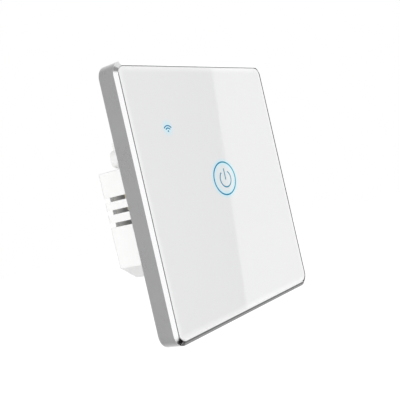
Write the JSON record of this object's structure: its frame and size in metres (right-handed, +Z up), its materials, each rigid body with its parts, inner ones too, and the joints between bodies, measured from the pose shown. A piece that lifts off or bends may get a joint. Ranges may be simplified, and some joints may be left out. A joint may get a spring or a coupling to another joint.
{
  "type": "smart light switch",
  "caption": "Square glass touch switch in a bevelled metal frame that snaps off its base, with a vented case of relay electronics and rising-clamp terminals behind it.",
  "frame": {"origin": "centre of the plate on the wall plane, which is the back of the base plate's rim", "axes": "+X to the right seen from the front, +Y into the wall, +Z up; the glass faces -Y"},
  "size_m": [0.086, 0.0319, 0.086],
  "materials": {
    "glass": "polished, printed white on its back",
    "frame_metal": "fine satin, diamond-cut bevel",
    "case_plastic": "fine moulded texture",
    "carrier_plastic": "smooth moulded",
    "tape": "foam tape",
    "board": "glass-fibre laminate with solder mask",
    "contact_foam": "conductive foam",
    "light_guide": "milky clear",
    "led_body": "moulded lens",
    "chip_plastic": "moulded epoxy",
    "radio_board": "laminate with solder mask",
    "shield_metal": "tinned sheet",
    "header_plastic": "moulded",
    "relay_plastic": "moulded cover",
    "ferrite": "pressed ferrite",
    "bobbin_plastic": "moulded",
    "winding_tape": "polyester tape",
    "can_sleeve": "shrunk sleeve",
    "varistor_coat": "dipped epoxy",
    "fuse_body": "ceramic tube",
    "choke_sleeve": "shrunk sleeve",
    "terminal_plastic": "moulded",
    "plated_copper": "tin plated",
    "zinc_steel": "zinc plated"
  },
  "bodies": {
    "base": {"base_plate": "case_plastic", "rear_housing": "case_plastic", "housing_screws": "zinc_steel", "touch_board": "board", "board_screws": "zinc_steel", "touch_contact": "contact_foam", "ring_light_guide": "light_guide", "wireless_light_guide": "light_guide", "indicator_leds": "led_body", "touch_controller_chip": "chip_plastic", "radio_module": "radio_board", "radio_shield": "shield_metal", "board_header": "header_plastic", "header_socket": "header_plastic", "power_board": "board", "relay": "relay_plastic", "transformer_core": "ferrite", "transformer_bobbin": "bobbin_plastic", "transformer_winding": "winding_tape", "input_capacitor": "can_sleeve", "output_capacitor": "can_sleeve", "surge_varistor": "varistor_coat", "fuse": "fuse_body", "bridge_rectifier": "chip_plastic", "choke": "choke_sleeve", "terminal_block": "terminal_plastic", "terminal_bars": "plated_copper"},
    "front_panel": {"glass_panel": "glass", "glass_adhesive": "tape", "bezel_frame": "frame_metal", "panel_carrier": "carrier_plastic"},
    "terminal_screw_1": {"terminal_screw_1": "zinc_steel"},
    "clamp_cage_1": {"clamp_cage_1": "zinc_steel"},
    "terminal_screw_2": {"terminal_screw_2": "zinc_steel"},
    "clamp_cage_2": {"clamp_cage_2": "zinc_steel"},
    "terminal_screw_3": {"terminal_screw_3": "zinc_steel"},
    "clamp_cage_3": {"clamp_cage_3": "zinc_steel"}
  },
  "joints": [
    {"name": "panel_release", "type": "slide", "parent": "base", "child": "front_panel", "axis": [0, -1, 0], "range_m": [0, 0.02]},
    {"name": "clamp_screw_1_turn", "type": "hinge", "parent": "base", "child": "terminal_screw_1", "pos_m": [-0.008, 0.0214, -0.0174], "axis": [0, -1, 0], "range_deg": [0, 2520]},
    {"name": "clamp_cage_1_rise", "type": "slide", "parent": "base", "child": "clamp_cage_1", "axis": [0, 1, 0], "range_m": [0, 0.0035]},
    {"name": "clamp_screw_2_turn", "type": "hinge", "parent": "base", "child": "terminal_screw_2", "pos_m": [0, 0.0214, -0.0174], "axis": [0, -1, 0], "range_deg": [0, 2520]},
    {"name": "clamp_cage_2_rise", "type": "slide", "parent": "base", "child": "clamp_cage_2", "axis": [0, 1, 0], "range_m": [0, 0.0035]},
    {"name": "clamp_screw_3_turn", "type": "hinge", "parent": "base", "child": "terminal_screw_3", "pos_m": [0.008, 0.0214, -0.0174], "axis": [0, -1, 0], "range_deg": [0, 2520]},
    {"name": "clamp_cage_3_rise", "type": "slide", "parent": "base", "child": "clamp_cage_3", "axis": [0, 1, 0], "range_m": [0, 0.0035]}
  ],
  "couplings": [
    {"joint": "clamp_screw_1_turn", "follows": "clamp_cage_1_rise", "rad_per_m": 12566},
    {"joint": "clamp_screw_2_turn", "follows": "clamp_cage_2_rise", "rad_per_m": 12566},
    {"joint": "clamp_screw_3_turn", "follows": "clamp_cage_3_rise", "rad_per_m": 12566}
  ]
}
